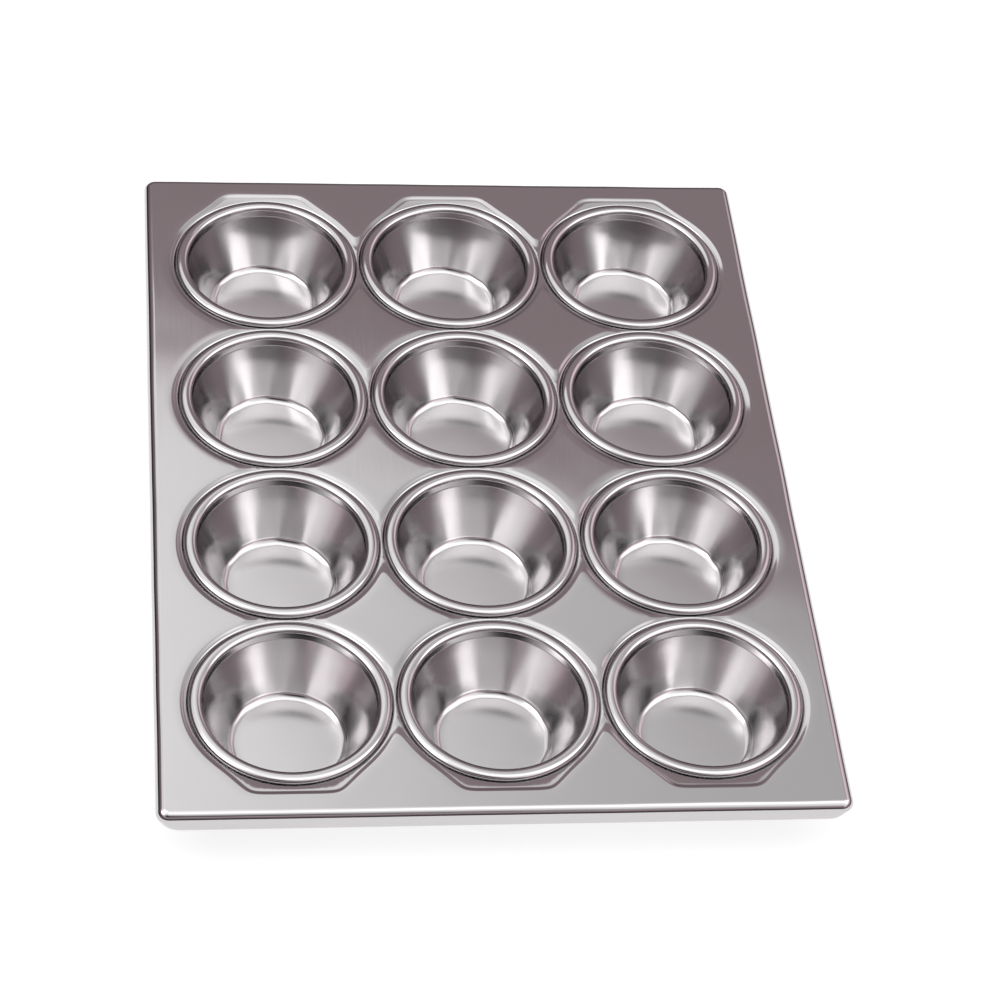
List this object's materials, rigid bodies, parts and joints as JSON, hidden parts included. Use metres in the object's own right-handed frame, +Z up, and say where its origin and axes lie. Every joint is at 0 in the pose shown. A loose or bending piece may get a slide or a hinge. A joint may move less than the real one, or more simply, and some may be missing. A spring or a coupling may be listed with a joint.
{
  "type": "muffin pan",
  "caption": "Shallow rectangular baking pan: a grid of tapered round cups crimped into a flat sheet with a rolled, wired edge.",
  "frame": {"origin": "centre of the pan's footprint, level with the undersides of the cups", "axes": "+X to the right across the short side, +Y along the long side to the far end, +Z up, out of the cups' mouths"},
  "size_m": [0.27, 0.356, 0.0288],
  "materials": {
    "frame": "satin rolled sheet",
    "cup": "satin, drawn",
    "wire": "plain drawn wire"
  },
  "bodies": {
    "root": {"frame_sheet": "frame", "muffin_cup_r1_c1": "cup", "muffin_cup_r1_c2": "cup", "muffin_cup_r1_c3": "cup", "muffin_cup_r2_c1": "cup", "muffin_cup_r2_c2": "cup", "muffin_cup_r2_c3": "cup", "muffin_cup_r3_c1": "cup", "muffin_cup_r3_c2": "cup", "muffin_cup_r3_c3": "cup", "muffin_cup_r4_c1": "cup", "muffin_cup_r4_c2": "cup", "muffin_cup_r4_c3": "cup", "rim_wire": "wire"}
  },
  "joints": []
}
